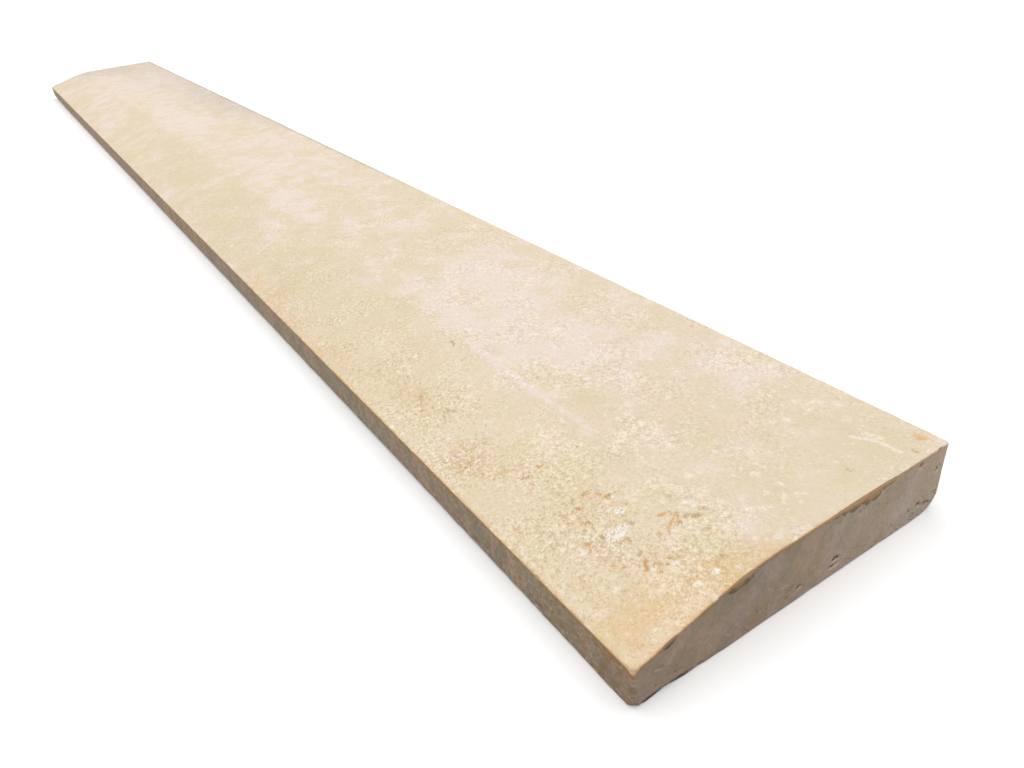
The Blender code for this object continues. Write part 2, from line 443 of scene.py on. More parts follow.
# The camera of the photograph: its place, its turn in degrees, and its lens on a 36 mm sensor
CAMERA_PLACE = (0.53615, -0.11787, 0.14302)
CAMERA_TURN = (58.349, 4.794, 56.617)
CAMERA_LENS = 28.055

# The studio: a broad softbox overhead, a dim room, and a white floor that throws little back and
# fades to pure white between two distances from the stone
SOFTBOX_SIZE = 6.0
SOFTBOX_HEIGHT = 2.5
SOFTBOX_POWER = 156.0
ROOM_LIGHT = 0.10
FLOOR_SIZE = 12.0
FLOOR_BOUNCE = 0.22
FLOOR_LIFT = 0.20
FLOOR_FADE = (0.9, 2.2)
FLOOR_DROP = 0.0001


def corner_rounding(distance, radius):
    """How far a quarter-round lies inside its side: r - sqrt(r^2 - (r - d)^2), 0 past d = r."""
    short = np.clip(radius - distance, 0.0, None)
    return radius - np.sqrt(radius**2 - short**2)


def section_corners(from_near, from_far):
    """The six sharp corners (y, z) of the section at each distance from both ends.

    Each side moves in square to itself by its own quarter-round. The crest is where the flat,
    z = top, meets the shoulder's line, and the shoulder is where that meets the bevel's line.
    """
    nearer = np.minimum(from_near, from_far)
    top_in = corner_rounding(nearer, END_TOP_ARRIS)
    back = BACK - corner_rounding(nearer, END_BACK_CORNER)
    foot = corner_rounding(from_near, END_FOOT_ARRIS) + corner_rounding(from_far, FAR_FOOT_ARRIS)
    front_in = corner_rounding(from_near, END_FRONT_CORNER)
    front = FRONT + front_in + corner_rounding(from_far, FAR_FRONT_CORNER)
    flat = TOP - top_in
    shoulder_base = TOP - SHOULDER_SLOPE * CREST - top_in * math.hypot(1.0, SHOULDER_SLOPE)
    bevel_base = TOP - BEVEL_DROP - BEVEL_SLOPE * FRONT - top_in * math.hypot(1.0, BEVEL_SLOPE)
    crest = (flat - shoulder_base) / SHOULDER_SLOPE
    shoulder = (bevel_base - shoulder_base) / (SHOULDER_SLOPE - BEVEL_SLOPE)
    across = [back, back, crest, shoulder, front, front]
    shoulder_height = shoulder_base + SHOULDER_SLOPE * shoulder
    up = [foot, flat, flat, shoulder_height, bevel_base + BEVEL_SLOPE * front, foot]
    return np.stack([np.stack(across, -1), np.stack(up, -1)], -1)


def outline(corners, radii, places):
    """Points (y, z) of the rounded section at each place round it, for every ring.

    Place 2i + f is on corner i's arc: centre + r (cos a, sin a), with a = middle + half turn
    * (2f - 1). Place 2i + 1 + f is the share f of the straight side from there to the next arc.
    """
    to_last = np.roll(corners, 1, axis=1) - corners
    to_next = np.roll(corners, -1, axis=1) - corners
    last_length = np.linalg.norm(to_last, axis=-1, keepdims=True)
    next_length = np.linalg.norm(to_next, axis=-1, keepdims=True)
    last_way = to_last / last_length
    next_way = to_next / next_length
    half_turn = (math.pi - np.arccos(np.sum(last_way * next_way, axis=-1))) / 2
    longest = SIDE_SHARE * np.minimum(last_length, next_length)[..., 0]
    reach = np.minimum(radii * np.tan(half_turn), longest)
    radius = reach / np.tan(half_turn)
    inward = last_way + next_way
    inward /= np.linalg.norm(inward, axis=-1, keepdims=True)
    centre = corners + inward * (radius / np.cos(half_turn))[..., None]
    middle = np.arctan2(-inward[..., 1], -inward[..., 0])
    arc_start = corners + last_way * reach[..., None]
    arc_end = corners + next_way * reach[..., None]

    corner = (places // 2).astype(int) % len(CORNER_RADII)
    share = places % 1.0
    angle = middle[:, corner] + half_turn[:, corner] * (2 * share - 1)
    turned = np.stack([np.cos(angle), np.sin(angle)], -1)
    on_arc = centre[:, corner] + radius[:, corner][..., None] * turned
    next_start = np.roll(arc_start, -1, axis=1)[:, corner]
    on_side = arc_end[:, corner] + share[:, None] * (next_start - arc_end[:, corner])
    return np.where((places % 2.0 < 1.0)[:, None], on_arc, on_side)


def ring_places():
    """Places round the section, from the middle of the back foot's arc once round to it."""
    steps = [count for pair in zip(CORNER_STEPS, SIDE_STEPS) for count in pair]
    places = np.concatenate([i + np.arange(count) / count for i, count in enumerate(steps)])
    places = np.where(places < 0.5, places + len(steps), places)
    return np.sort(places)


def ring_distances():
    """Distances of the rings from the near end.

    The arris rows crowd by r (1 - cos a), then the rows keep one spacing, and past the near
    stretch each is wider than the last by the growth, up to the far end's arris rows.
    """
    near_widest = max(END_TOP_ARRIS, END_FOOT_ARRIS, END_FRONT_CORNER, END_BACK_CORNER)
    far_widest = max(FAR_FOOT_ARRIS, FAR_FRONT_CORNER)
    length = NEAR_END - FAR_END
    arris = 1 - np.cos(np.linspace(0, math.pi / 2, ARRIS_ROWS))
    near = np.arange(near_widest + NEAR_ROW, NEAR_STRETCH, NEAR_ROW)
    room = length - far_widest - near[-1]
    count = int(math.log(1 + room * (ROW_GROWTH - 1) / NEAR_ROW) / math.log(ROW_GROWTH))
    rest = np.cumsum(NEAR_ROW * ROW_GROWTH ** np.arange(1, count))
    rest = near[-1] + rest * room / (rest[-1] + NEAR_ROW * ROW_GROWTH**count)
    return np.concatenate([near_widest * arris, near, rest, length - far_widest * arris[::-1]])


def stitch(first, second, first_places, second_places):
    """Triangles between two closed loops of points, by their places round the section.

    Each edge of the first loop takes the last point of the second that comes before its end,
    and each edge of the second takes the last point of the first up to its own end.
    """
    turn = 2.0 * len(CORNER_RADII)
    first_ends = np.append(first_places[1:], first_places[0] + turn)
    second_ends = np.append(second_places[1:], second_places[0] + turn)
    i = np.arange(len(first))
    j = np.searchsorted(second_places, first_ends, "left") - 1
    over_first = np.stack([first[i], np.roll(first, -1)[i], second[j]], -1)
    k = np.arange(len(second))
    m = np.searchsorted(np.append(first_places, first_places[0] + turn), second_ends, "right") - 1
    over_second = np.stack([first[m % len(first)], np.roll(second, -1)[k], second[k]], -1)
    return np.concatenate([over_first, over_second])


def end_grid(x, ring, places, cell):
    """A grid over an end face, and the places round the section of its rim.

    Its columns run across from the back to the front, just inside the outline, and each runs
    up between the heights that the ring has there: z = lower + v (upper - lower).
    """
    upper_half = (places >= UPPER_HALF[0]) & (places <= UPPER_HALF[1])
    lower_half = (places >= LOWER_HALF[0]) | (places <= LOWER_HALF[1])
    upper_ring, upper_places = ring[upper_half][::-1], places[upper_half][::-1]
    lower_order = np.argsort(ring[lower_half, 0])
    lower_ring = ring[lower_half][lower_order]
    lower_places = places[lower_half][lower_order]
    wrapped = lower_places + 2 * len(CORNER_RADII)
    lower_places = np.where(lower_places <= LOWER_HALF[1], wrapped, lower_places)

    columns = int(np.ptp(ring[:, 0]) / cell)
    across = np.linspace(ring[:, 0].max() - CAP_RIM, ring[:, 0].min() + CAP_RIM, columns)
    upper = np.interp(across, upper_ring[:, 0], upper_ring[:, 1]) - CAP_RIM
    lower = np.interp(across, lower_ring[:, 0], lower_ring[:, 1]) + CAP_RIM
    rows = int(np.ptp(ring[:, 1]) / cell)
    up = lower + np.linspace(0, 1, rows)[:, None] * (upper - lower)
    grid = np.stack([np.full_like(up, x), np.broadcast_to(across, up.shape), up], -1)

    top_places = np.interp(across, upper_ring[:, 0], upper_places)
    foot_places = np.interp(across, lower_ring[:, 0], lower_places)
    back_places = np.linspace(foot_places[0] - 2 * len(CORNER_RADII), top_places[0], rows)
    front_places = np.linspace(foot_places[-1], top_places[-1], rows)
    return grid, (back_places, top_places, front_places, foot_places)


def rim(indices, side_places, start):
    """The grid's rim, once round from the start, with the place of each of its points."""
    back_places, top_places, front_places, foot_places = side_places
    points = [indices[:-1, 0], indices[-1, :-1], indices[:0:-1, -1], indices[0, :0:-1]]
    places = [back_places[:-1], top_places[:-1], front_places[:0:-1], foot_places[:0:-1]]
    places = (np.concatenate(places) - start) % (2 * len(CORNER_RADII)) + start
    order = np.argsort(places)
    return np.concatenate(points)[order], places[order]


def grid_quads(indices):
    """The four corners of each cell of a grid of point numbers, counter-clockwise from (0, 0)."""
    return np.stack([indices[:-1, :-1], indices[:-1, 1:], indices[1:, 1:], indices[1:, :-1]], -1)


def stone_skin():
    """The points, quads and triangles of the whole stone, and which of those faces are honed."""
    places = ring_places()
    distances = ring_distances()
    length = NEAR_END - FAR_END
    from_far = length - distances
    corners = section_corners(distances, from_far)
    radii = CORNER_RADII + NEAR_CHANGE * np.exp(-distances[:, None] / NEAR_REACH)
    radii += FAR_CHANGE * np.exp(-from_far[:, None] / FAR_REACH)
    sections = outline(corners, radii, places)
    rows, round_count = len(distances), len(places)
    x = np.broadcast_to((NEAR_END - distances)[:, None], (rows, round_count))
    rings = np.concatenate([x[..., None], sections], -1)
    ring_indices = np.arange(rows * round_count).reshape(rows, round_count)
    points = [rings.reshape(-1, 3)]

    closed = np.concatenate([ring_indices, ring_indices[:, :1]], axis=1)
    side_quads = grid_quads(closed)[..., ::-1]
    quads = [side_quads.reshape(-1, 4)]
    honed_places = (places >= HONED_PLACES[0]) & (places < HONED_PLACES[1])
    honed = [np.broadcast_to(honed_places, side_quads.shape[:2]).reshape(-1)]
    triangles = []
    taken = rows * round_count
    for end, cell in ((0, NEAR_CAP_CELL), (rows - 1, FAR_CAP_CELL)):
        grid, side_places = end_grid(rings[end, 0, 0], sections[end], places, cell)
        indices = taken + np.arange(grid.shape[0] * grid.shape[1]).reshape(grid.shape[:2])
        taken += indices.size
        points.append(grid.reshape(-1, 3))
        rim_indices, rim_places = rim(indices, side_places, places[0])
        ring = ring_indices[end]
        if end == 0:
            quads.append(grid_quads(indices)[..., ::-1].reshape(-1, 4))
            triangles.append(stitch(ring, rim_indices, places, rim_places))
        else:
            quads.append(grid_quads(indices).reshape(-1, 4))
            triangles.append(stitch(rim_indices, ring, rim_places, places))
        honed.append(np.zeros(len(quads[-1]), bool))
    quads = np.concatenate(quads)
    triangles = np.concatenate(triangles)
    honed = np.concatenate(honed + [np.zeros(len(triangles), bool)])
    return np.concatenate(points), quads, triangles, honed


def hashed(cells, seed):
    """An even spread of numbers from 0 to 1, one for each whole-number cell, by mixing bits."""
    mixed = cells[..., 0] * 73856093 ^ cells[..., 1] * 19349663 ^ cells[..., 2] * 83492791
    mixed = (mixed ^ seed * 2654435761) & 0xFFFFFFFF
    for _ in range(2):
        mixed = ((mixed ^ mixed >> 16) * 0x45D9F3B) & 0xFFFFFFFF
    return (mixed ^ mixed >> 16) / 0xFFFFFFFF


def noise(points, cell, seed):
    """Smooth noise from -1 to 1: the hashed values of a cell's corners, blended by 3t^2 - 2t^3."""
    at = points / cell
    base = np.floor(at).astype(np.int64)
    share = at - base
    share = share * share * (3 - 2 * share)
    total = np.zeros(len(points))
    for corner in itertools.product((0, 1), repeat=3):
        weight = np.prod(np.where(corner, share, 1 - share), axis=-1)
        total += weight * hashed(base + np.array(corner), seed)
    return 2 * total - 1


def soft_step(value, start, end):
    """0 at the start, 1 at the end, and 3t^2 - 2t^3 between them."""
    share = np.clip((value - start) / (end - start), 0, 1)
    return share * share * (3 - 2 * share)


def bite(points, centre, half_sizes, way, seed):
    """Pushes what lies inside a rough egg out through its far side, along one way.

    With q = (point - centre) / half sizes and d = way / half sizes, a point with |q| < edge
    moves by the root s of |q + s d| = edge. The edge is 1 + roughness * noise. Returns the moved
    points, and edge - |q|, which is above 0 where the stone is broken.
    """
    way = np.array(way) / np.linalg.norm(way)
    edge = 1 + CHIP_ROUGHNESS * noise(points, CHIP_CELL, seed)
    q = (points - centre) / half_sizes
    d = way / half_sizes
    inside = edge - np.linalg.norm(q, axis=1)
    a, b, c = d @ d, q @ d, np.sum(q * q, axis=1) - edge**2
    far_root = (-b + np.sqrt(np.clip(b * b - a * c, 0, None))) / a
    moved = points + np.where(inside > 0, far_root, 0)[:, None] * way
    return moved, inside


def surface_height(y):
    """Height of the upper faces at y, as if their corners were sharp: the lowest of three lines."""
    shoulder = TOP + SHOULDER_SLOPE * (y - CREST)
    bevel = TOP - BEVEL_DROP + BEVEL_SLOPE * (y - FRONT)
    return np.minimum(np.minimum(TOP, shoulder), bevel)


def flaked(points):
    """The skin with the flakes off the end's top arris, and a field in mm that is above 0 there.

    A flake takes the arris back to a hollow face: x <= end - along * bulge * (1 - depth / down)^2,
    with bulge = sqrt(1 - t^2), t from -1 to 1 along it. Its reach down is flake.down * bulge
    * (1 + roughness * noise). The field is how far a point is above the flake's lower border, and
    below 0 behind its face.
    """
    x, y, z = points.T
    depth = surface_height(y) - z
    ragged = noise(points * FLAKE_DRAWN_OUT, FLAKE_CELL, FLAKE_SEEDS[0])
    ragged += FINER_SHARE * noise(points, FINER_FLAKE_CELL, FLAKE_SEEDS[1])
    cut_back = x.copy()
    field = np.full(len(points), NO_FLAKE)
    for flake in FLAKES:
        bulge = np.sqrt(np.clip(1 - ((y - BACK + flake.from_back) / flake.half_length) ** 2, 0, None))
        down = flake.down * bulge * (1 + FLAKE_ROUGHNESS * ragged) + LEAST_REACH
        left = 1 - depth / down
        face = NEAR_END - flake.along * bulge * left * np.abs(left)
        reached = (left > 0) & (bulge > 0) & (x > face)
        cut_back = np.where(reached, np.minimum(cut_back, face), cut_back)
        above = np.where(x > face, left * flake.down, BEHIND_FALL * (x - face))
        field = np.maximum(field, np.where(bulge > 0, MM_IN_METRE * above, NO_FLAKE))
    return np.stack([cut_back, y, z], -1), field


def chipped(points):
    """The skin with its pits and notches, and its tips worn to planes.

    A point that lies a distance d > 0 beyond a tip's plane moves by -d along its facing. Returns
    the points, how far each is inside a pit or notch, and d in mm for the upper tip.
    """
    eggs = []
    for pit in END_PITS:
        centre = (NEAR_END, BACK - pit.from_back, pit.height)
        eggs.append((centre, (pit.depth, pit.half_width, pit.half_height), (-1, 0, 0)))
    for notch in EDGE_NOTCHES:
        centre = (NEAR_END - notch.from_end, FRONT, notch.height)
        eggs.append((centre, (notch.half_length, notch.depth, notch.half_height), (0, 1, 0)))
    pitted = np.full(len(points), -1.0)
    for seed, (centre, half_sizes, way) in enumerate(eggs):
        points, inside = bite(points, np.array(centre), np.array(half_sizes), way, seed)
        pitted = np.maximum(pitted, inside)
    fields = []
    for tip in WORN_TIPS:
        facing = np.array(tip.facing) / np.linalg.norm(tip.facing)
        beyond = (points - (NEAR_END, FRONT, tip.height)) @ facing + tip.depth
        beyond += TIP_RAGGED * noise(points, CHIP_CELL, TIP_SEED)
        points = points - np.clip(beyond, 0, None)[:, None] * facing
        fields.append(MM_IN_METRE * beyond)
    return points, pitted, fields[0]


def worn(points, normals, near_arris, on_top):
    """The skin moved in and out by arris wear + saw marks + honed waves, each a noise.

    What would fall below the underside stays on it.
    """
    wear = WORN_DEPTH * near_arris * noise(points, WORN_CELL, WORN_SEED)
    sawn = SAWN_DEPTH * (1 - on_top) * noise(points, SAWN_CELL, SAWN_SEED)
    waves = HONED_DEPTH * on_top * noise(points, HONED_CELL, HONED_SEED)
    moved = points - normals * (wear + sawn + waves)[:, None]
    return np.maximum(moved, (-np.inf, -np.inf, low.z))


def route_distance(places, route):
    """Distance from each place on a face to a route of straight stretches, or to a single spot.

    On a stretch from a to b the nearest point is a + t (b - a), with t, from 0 to 1, the share of
    b - a that the way from a to the place covers.
    """
    spots = np.reshape(route, (-1, 2))
    nearest = np.full(len(places), np.inf)
    for start, end in zip(spots, spots[1:] if len(spots) > 1 else spots):
        way = end - start
        share = np.clip((places - start) @ way / max(way @ way, LEAST_SQUARE), 0, 1)
        gap = np.linalg.norm(places - start - share[:, None] * way, axis=1)
        nearest = np.minimum(nearest, gap)
    return nearest


def drawn(places, marks):
    """How far inside the nearest mark each place is, all in mm."""
    field = np.full(len(places), NO_MARK)
    for half_width, *route in marks:
        field = np.maximum(field, half_width - route_distance(places, route))
    return field


def patches(places, soft_patches):
    """The sum over soft patches of strength * exp(-(dx / half length)^2 - (dy / half width)^2)."""
    total = np.zeros(len(places))
    for from_end, across, half_length, half_width, strength in soft_patches:
        away = (places - (from_end, across)) / (half_length, half_width)
        total += strength * np.exp(-np.sum(away**2, axis=1))
    return total


def make_mesh(name, points, quads, triangles, materials, material_indices):
    """A smooth mesh object from arrays of points and faces."""
    mesh = bpy.data.meshes.new(name)
    mesh.from_pydata(points.tolist(), [], quads.tolist() + triangles.tolist())
    for material in materials:
        mesh.materials.append(material)
    mesh.polygons.foreach_set("material_index", material_indices.astype(np.int32))
    mesh.shade_smooth()
    obj = bpy.data.objects.new(name, mesh)
    bpy.context.scene.collection.objects.link(obj)
    return obj


def set_attribute(mesh, name, values):
    """Stores one number for each point, for the materials to read."""
    attribute = mesh.attributes.new(name, "FLOAT", "POINT")
    attribute.data.foreach_set("value", values.astype(np.float32))


def point_normals(mesh):
    """The mesh's own normals at its points, as an array."""
    normals = np.empty(len(mesh.vertices) * 3, np.float32)
    mesh.vertex_normals.foreach_get("vector", normals)
    return normals.reshape(-1, 3).astype(float)


def arris_distance(points):
    """Distance to the nearest arris of the stone as if it were sharp, and depth below its top.

    The first is the hypotenuse of the two smaller distances to the nearest end, side and face.
    """
    x, y, z = points.T
    from_end = np.minimum(NEAR_END - x, x - FAR_END)
    from_side = np.minimum(BACK - y, y - FRONT)
    below_top = surface_height(y) - z
    from_face = np.minimum(below_top, z)
    gaps = np.sort(np.stack([from_end, from_side, from_face], -1), axis=-1)
    return np.hypot(gaps[:, 0], gaps[:, 1]), below_top


def stone_fields(points, gap, below_top):
    """The fields that the materials read, by name: marks and distances in mm, and soft patches."""
    from_end, across = NEAR_END - points[:, 0], points[:, 1]
    on_end = from_end < END_FACE_DEPTH
    from_above = MM_IN_METRE * np.stack([from_end, across], -1)
    end_on = MM_IN_METRE * np.stack([BACK - across, points[:, 2]], -1)
    # The bevel's yellower tone: partly its own, partly painted shade where it misses the flat's sheen
    bevel_tone_and_shade = BEVEL_TONE_AND_SHADE * soft_step(-across, -CREST, -CREST + BEVEL_TONE_FADE)
    return {
        # Painted light in the tone: the highlight along the crest, and a sheen just behind it
        "tone": patches(from_above, PALE_CLOUDS_AND_SHEEN + [CREST_HIGHLIGHT]) + bevel_tone_and_shade,
        "iron": drawn(from_above, IRON_STAINS),
        "olive": drawn(from_above, OLIVE_STAINS),
        "crystal": drawn(from_above, CRYSTALS),
        "scar": np.where(on_end, drawn(end_on, END_SCARS), NO_MARK),
        "chalk": np.where(on_end, drawn(end_on, END_CHALK), NO_MARK),
        "specks": patches(from_above, SPECK_FIELDS),
        "tint": patches(from_above, ORANGE_TINTS),
        # Painted shade on the far stretch, darker and bluer, that damps its sheen
        "far_shade": patches(from_above, FAR_SHADE_PATCHES),
        "arris_gap": MM_IN_METRE * gap,
        "below_top": MM_IN_METRE * below_top,
    }


def build_stone(materials):
    """The finished stone, with the fields that its materials read stored at its points."""
    points, quads, triangles, honed = stone_skin()
    stone = make_mesh("threshold_stone", points, quads, triangles, materials, 1 - honed)
    mesh = stone.data
    gap, below_top = arris_distance(points)
    fields = stone_fields(points, gap, below_top)
    near_arris = 1 - soft_step(gap, *WEAR_FADE)
    on_top = 1 - soft_step(below_top, *HONING_FADE)
    points = worn(points, point_normals(mesh), near_arris, on_top)
    points, fields["flaked"] = flaked(points)
    points, fields["pitted"], fields["tip"] = chipped(points)
    mesh.vertices.foreach_set("co", points.reshape(-1).astype(np.float32))
    mesh.update()
    for name, values in fields.items():
        set_attribute(mesh, name, values)
    return stone


VECTOR, FLOAT, COLOUR = "NodeSocketVector", "NodeSocketFloat", "NodeSocketColor"


class Tree:
    """A node tree that is written as one line for each node. A colour is three numbers in it."""

    def __init__(self, tree):
        """Takes the tree, a material's own or a group's."""
        self.tree = tree

    def fill(self, node, inputs):
        """Gives each input of a node a link, or a plain value on its own socket."""
        for key, value in inputs.items():
            socket = node.inputs[key]
            if isinstance(value, bpy.types.NodeSocket):
                self.tree.links.new(value, socket)
            else:
                socket.default_value = (*value, 1.0) if socket.type == "RGBA" else value

    def add(self, kind, inputs, **settings):
        """Adds a node, sets it up, fills its inputs, and gives its outputs."""
        node = self.tree.nodes.new(kind)
        for name, value in settings.items():
            setattr(node, name, value)
        self.fill(node, inputs)
        return node.outputs

    def math(self, operation, *values):
        """The result of a Math node."""
        return self.add("ShaderNodeMath", dict(enumerate(values)), operation=operation)[0]

    def plus(self, first, second):
        """One value plus another."""
        return self.math("ADD", first, second)

    def times(self, first, second):
        """One value times another."""
        return self.math("MULTIPLY", first, second)

    def scaled(self, value, factor, offset):
        """A value times a factor, plus an offset."""
        return self.math("MULTIPLY_ADD", value, factor, offset)

    def step(self, value, start, end, lowest=0.0, highest=1.0):
        """A soft step: lowest up to the start, highest from the end."""
        inputs = {"Value": value, "From Min": start, "From Max": end}
        inputs |= {"To Min": lowest, "To Max": highest}
        return self.add("ShaderNodeMapRange", inputs, interpolation_type="SMOOTHSTEP")["Result"]

    def mix(self, share, first, second, blend_type="MIX"):
        """Two colours mixed by a share."""
        inputs = {0: share, 6: first, 7: second}
        return self.add("ShaderNodeMix", inputs, data_type="RGBA", blend_type=blend_type)[2]

    def tint(self, colour, tint, share=1.0):
        """A colour multiplied by a tint, as far as the share goes."""
        return self.mix(share, colour, tint, "MULTIPLY")

    def paint(self, colour, paint, mask, strength=1.0):
        """A colour with paint laid over it where a mask says, at a strength."""
        return self.mix(self.times(mask, strength), colour, paint)

    def noise(self, place, scale, detail=2.0, roughness=0.5, distortion=0.0):
        """A noise pattern's value at a place, with this many blobs to the metre."""
        inputs = {"Vector": place, "Scale": scale, "Detail": detail}
        inputs |= {"Roughness": roughness, "Distortion": distortion}
        return self.add("ShaderNodeTexNoise", inputs)["Fac"]

    def swing(self, *pattern):
        """A noise pattern's value at a place, less a half, so that it swings around 0."""
        return self.math("SUBTRACT", self.noise(*pattern), 0.5)

    def mapped(self, place, **turn_or_scale):
        """A place turned, or scaled by its own factor along each axis."""
        inputs = {key.capitalize(): value for key, value in turn_or_scale.items()}
        return self.add("ShaderNodeMapping", {"Vector": place} | inputs)[0]

    def attribute(self, name):
        """One of the stone's stored fields."""
        return self.add("ShaderNodeAttribute", {}, attribute_name=name)["Fac"]

    def group(self, name, place, **inputs):
        """Places a node group, with its inputs by their names in small letters."""
        inputs = {key.capitalize(): value for key, value in inputs.items()} | {"Place": place}
        return self.add("ShaderNodeGroup", inputs, node_tree=bpy.data.node_groups[name])

    def mark(self, name, place, raggedness=1.0):
        """The mask of the marks that are drawn in a stored field."""
        field = self.attribute(name)
        return self.group("broken mark", place, field=field, raggedness=raggedness)["Mask"]

    def give(self, **outputs):
        """Makes a group's named outputs and leads these values and colours out of it."""
        for name, value in outputs.items():
            kind = COLOUR if value.type == "RGBA" else FLOAT
            self.tree.interface.new_socket(name, in_out="OUTPUT", socket_type=kind)
        self.add("NodeGroupOutput", outputs)


def new_group(name, **inputs):
    """An empty node group that takes a place and these inputs, as its tree and input sockets.

    An input's kind follows from its default: a number, or three for a colour.
    """
    group = bpy.data.node_groups.new(name, "ShaderNodeTree")
    group.interface.new_socket("Place", in_out="INPUT", socket_type=VECTOR)
    for key, value in inputs.items():
        kind = COLOUR if isinstance(value, tuple) else FLOAT
        socket = group.interface.new_socket(key.capitalize(), in_out="INPUT", socket_type=kind)
        socket.default_value = (*value, 1.0) if kind == COLOUR else value
    tree = Tree(group)
    return tree, tree.add("NodeGroupInput", {})


def clouded_stone():
    """Group: the ground colour, clouded from yellow over beige to pale, blushing pink or green."""
    tree, given = new_group(
        "clouded stone",
        tone=0.0,
        mottle=1.0,
        hue=1.0,
        yellow=(0.785, 0.667, 0.468),
        beige=(0.825, 0.698, 0.525),
        pale=(0.874, 0.757, 0.650),
    )
    place, tone = given["Place"], given["Tone"]
    for blobs, swing, detail in ((24.0, 0.8, 2.0), (95.0, 2.1, 3.0), (420.0, 0.8, 3.0)):
        cloud = tree.swing(place, blobs, detail, 0.6, 0.3)
        tone = tree.scaled(cloud, tree.times(given["Mottle"], swing), tone)
    lower = tree.mix(tree.step(tone, -1.3, 0.1), given["Yellow"], given["Beige"])
    colour = tree.mix(tree.step(tone, -0.1, 1.3), lower, given["Pale"])
    broad = tree.scaled(tone, 0.12, tree.scaled(tree.noise(place, 22.0, 1.0), 0.8, -0.4))
    blots = tree.scaled(tree.noise(place, 160.0, 4.0, 0.7), 2.6, -1.3)
    blush = tree.times(tree.plus(broad, blots), given["Hue"])
    blush = tree.mix(tree.step(blush, -1.5, 1.5), (0.983, 1.013, 0.980), (1.022, 0.976, 1.022))
    tree.give(Color=tree.tint(colour, blush))


def stone_grain():
    """Group: small pale and brownish grains, as a shade to multiply by and a height."""
    tree, given = new_group(
        "stone grain", grains=900.0, contrast=1.0, dark=(0.85, 0.78, 0.69), light=(1.13, 1.19, 1.26)
    )
    coarse = tree.noise(given["Place"], given["Grains"], 2.0, 0.6, 0.5)
    finer = tree.noise(given["Place"], tree.times(given["Grains"], 2.1), 2.0, 0.6, 0.5)
    height = tree.scaled(finer, 0.45, tree.times(coarse, 0.55))
    share = tree.scaled(tree.math("SUBTRACT", height, 0.5), given["Contrast"], 0.5)
    tree.give(Shade=tree.mix(share, given["Dark"], given["Light"]), Height=height)


def crystal_flecks():
    """Group: scattered bright flecks, some cells of a cell pattern holding one of its own size."""
    tree, given = new_group("crystal flecks", cells=300.0, filled=0.4)
    wobble = tree.add("ShaderNodeTexNoise", {"Vector": given["Place"], "Scale": 900.0})["Color"]
    inputs = {0: wobble, 1: (0.0010, 0.0010, 0.0010), 2: given["Place"]}
    moved = tree.add("ShaderNodeVectorMath", inputs, operation="MULTIPLY_ADD")[0]
    cells = tree.add("ShaderNodeTexVoronoi", {"Vector": moved, "Scale": given["Cells"]})
    chance = tree.add("ShaderNodeSeparateColor", {"Color": cells["Color"]})
    chosen = tree.math("LESS_THAN", chance["Red"], given["Filled"])
    size = tree.scaled(chance["Green"], 0.30, 0.12)
    near = tree.math("SUBTRACT", size, cells["Distance"])
    strength = tree.scaled(chance["Blue"], 0.7, 0.3)
    mask = tree.times(tree.step(near, -0.10, 0.15), chosen)
    tree.give(Mask=tree.times(mask, strength))


def crooked_specks():
    """Group: small crooked specks, the highest parts of a twisted noise, more with the amount."""
    tree, given = new_group("crooked specks", scale=420.0, amount=0.5)
    blobs = tree.noise(given["Place"], given["Scale"], 2.0, 0.6, 1.2)
    over = tree.math("SUBTRACT", blobs, tree.scaled(given["Amount"], -0.13, 0.66))
    present = tree.step(given["Amount"], 0.0, 0.15)
    tree.give(Mask=tree.times(tree.step(over, -0.02, 0.07), present))


def broken_mark():
    """Group: a drawn field in mm broken up into grains, dense in its middle, sparse at its edge."""
    tree, given = new_group("broken mark", field=-1.0, raggedness=1.0)
    field = given["Field"]
    for blobs, swing in ((1000.0, 2.0), (2300.0, 2.2)):
        ragged = tree.swing(given["Place"], blobs, 1.0)
        field = tree.scaled(ragged, tree.times(given["Raggedness"], swing), field)
    tree.give(Mask=tree.step(field, -0.20, 0.60))


def broken_stone():
    """Group: the mask of a broken place, from a field, and its colour, brown at the rim to tan."""
    tree, given = new_group(
        "broken stone", field=-1.0, rim=1.0, dark=(0.30, 0.19, 0.115), tan=(0.74, 0.47, 0.26)
    )
    inward = tree.math("DIVIDE", given["Field"], given["Rim"])
    deep = tree.scaled(tree.swing(given["Place"], 330.0, 3.0, 0.6), 2.2, inward)
    colour = tree.mix(tree.step(deep, 0.0, 1.0), given["Dark"], given["Tan"])
    ragged = tree.scaled(tree.noise(given["Place"], 1300.0, 2.0), 0.5, -0.25)
    tree.give(Mask=tree.step(tree.plus(given["Field"], ragged), 0.0, 0.2), Color=colour)


def arris_line():
    """Group: a thin broken line along an arris, from the distance to it in mm."""
    tree, given = new_group("arris line", gap=1.0, width=0.3)
    gap = tree.math("SUBTRACT", given["Gap"], given["Width"])
    gap = tree.scaled(tree.swing(given["Place"], 330.0, 3.0, 0.65), -1.6, gap)
    tree.give(Mask=tree.step(gap, -0.15, 0.25, 1.0, 0.0))


def new_material(name):
    """A new material, with its tree and the place on its piece in Object coordinates."""
    material = bpy.data.materials.new(name)
    material.use_nodes = True
    tree = Tree(material.node_tree)
    return material, tree, tree.add("ShaderNodeTexCoord", {})["Object"]


def finish_stone(tree, colour, bump, roughness, specular):
    """Leads a stone's colour, bump and roughness to the material's own shader."""
    normal = tree.add("ShaderNodeBump", bump)[0]
    inputs = {"Base Color": colour, "Roughness": roughness, "Normal": normal}
    inputs |= {"Specular IOR Level": specular}
    tree.fill(tree.tree.nodes["Principled BSDF"], inputs)


